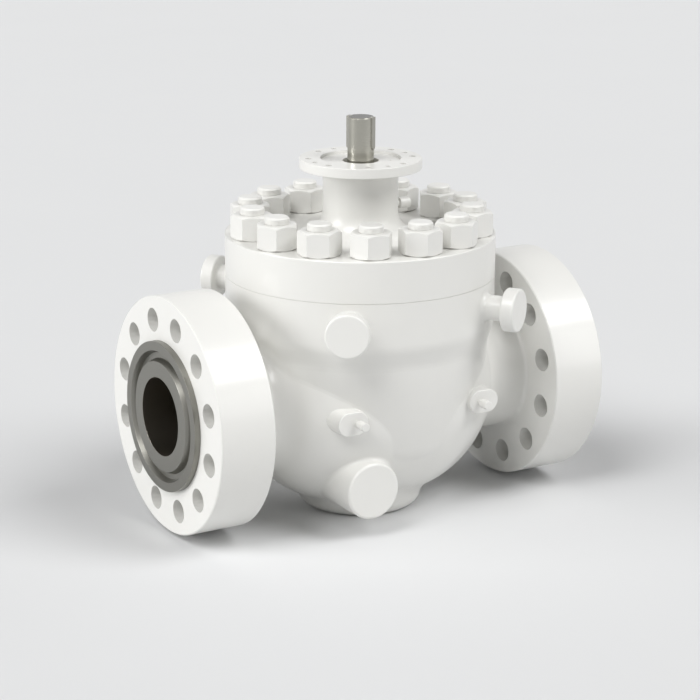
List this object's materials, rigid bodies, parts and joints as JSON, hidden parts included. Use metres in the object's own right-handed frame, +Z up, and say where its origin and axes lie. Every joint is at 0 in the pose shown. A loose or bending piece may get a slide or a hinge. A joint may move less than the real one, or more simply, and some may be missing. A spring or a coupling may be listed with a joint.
{
  "type": "top entry ball valve",
  "caption": "Flanged trunnion ball valve with a bolted bonnet on top, a keyed stem, a ball that turns a quarter and spring-loaded seat rings that slide along the bore.",
  "frame": {"origin": "the point where the flow bore crosses the stem axis", "axes": "+X along the flow bore from inlet to outlet, +Z up the stem, -Y towards the side with the blank drain boss"},
  "size_m": [1.292, 0.8686, 1.14],
  "materials": {
    "paint": "smooth satin off-white paint over cast and forged steel",
    "bright_steel": "turned and ground bare steel",
    "plated_steel": "polished plating on the ball",
    "bush_bronze": "plain machined bearing bronze",
    "gasket_steel": "spiral wound steel and graphite",
    "seal_rubber": "moulded black rubber",
    "packing_graphite": "pressed graphite",
    "seat_polymer": "machined seat polymer"
  },
  "bodies": {
    "housing": {"body": "paint", "bonnet": "paint", "bonnet_gasket": "gasket_steel", "bonnet_o_ring": "seal_rubber", "bonnet_dowels": "bright_steel", "bonnet_studs": "paint", "bonnet_nuts": "paint", "lifting_lugs": "paint", "lower_trunnion": "bright_steel", "trunnion_dowels": "bright_steel", "ball_thrust_washer": "bush_bronze", "upper_journal_bush": "bush_bronze", "stem_thrust_washer": "bush_bronze", "stem_bush": "bush_bronze", "lower_packing": "packing_graphite", "upper_packing": "packing_graphite", "lantern_ring": "bright_steel", "gland_plate": "paint", "gland_screws": "paint", "seat_fittings": "paint", "stem_fitting": "paint", "inlet_seat_springs": "bright_steel", "outlet_seat_springs": "bright_steel"},
    "ball": {"ball": "plated_steel", "trunnion_bush": "bush_bronze"},
    "stem": {"stem": "bright_steel", "stem_keys": "bright_steel", "stem_o_rings": "seal_rubber", "antistatic_plunger": "bright_steel"},
    "inlet_seat": {"inlet_seat_ring": "bright_steel", "inlet_seat_insert": "seat_polymer", "inlet_seat_o_rings": "seal_rubber"},
    "outlet_seat": {"outlet_seat_ring": "bright_steel", "outlet_seat_insert": "seat_polymer", "outlet_seat_o_rings": "seal_rubber"}
  },
  "joints": [
    {"name": "stem_turn", "type": "hinge", "parent": "housing", "child": "stem", "pos_m": [0, 0, 0], "axis": [0, 0, -1], "range_deg": [0, 90]},
    {"name": "ball_turn", "type": "hinge", "parent": "housing", "child": "ball", "pos_m": [0, 0, 0], "axis": [0, 0, -1], "range_deg": [0, 90]},
    {"name": "inlet_seat_slide", "type": "slide", "parent": "housing", "child": "inlet_seat", "axis": [-1, 0, 0], "range_m": [0, 0.002], "stiffness_N_per_m": 50000, "deforming": ["inlet_seat_springs"]},
    {"name": "outlet_seat_slide", "type": "slide", "parent": "housing", "child": "outlet_seat", "axis": [1, 0, 0], "range_m": [0, 0.002], "stiffness_N_per_m": 50000, "deforming": ["outlet_seat_springs"]}
  ],
  "couplings": [
    {"joint": "ball_turn", "follows": "stem_turn", "ratio": 1}
  ]
}
